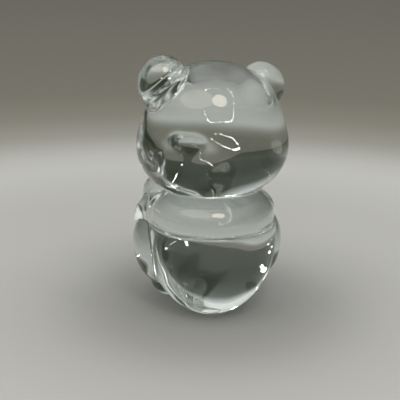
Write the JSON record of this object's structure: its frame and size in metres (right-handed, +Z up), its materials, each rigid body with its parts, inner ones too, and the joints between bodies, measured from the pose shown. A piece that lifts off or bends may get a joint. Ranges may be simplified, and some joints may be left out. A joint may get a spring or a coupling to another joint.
{
  "type": "glass animal figurine",
  "caption": "Solid clear glass figurine of a sitting bear cub with round ears, paws raised under its chin and a small flat under the rump to stand on.",
  "frame": {"origin": "on the flat under the rump, in the plane the figurine stands on, straight below the top of the head", "axes": "+Z up through the crown; -Y is the way the bear faces; +X is the bear's own left"},
  "size_m": [0.0532, 0.0501, 0.0897],
  "materials": {
    "crystal": "polished, solid, clear with a faint grey-green cast"
  },
  "bodies": {
    "root": {"lower_body": "crystal", "torso": "crystal", "head": "crystal", "muzzle": "crystal", "nose": "crystal", "left_eye": "crystal", "right_eye": "crystal", "left_ear": "crystal", "right_ear": "crystal", "left_leg": "crystal", "right_leg": "crystal", "left_foot": "crystal", "right_foot": "crystal", "left_arm": "crystal", "right_arm": "crystal", "left_paw": "crystal", "right_paw": "crystal"}
  },
  "joints": []
}
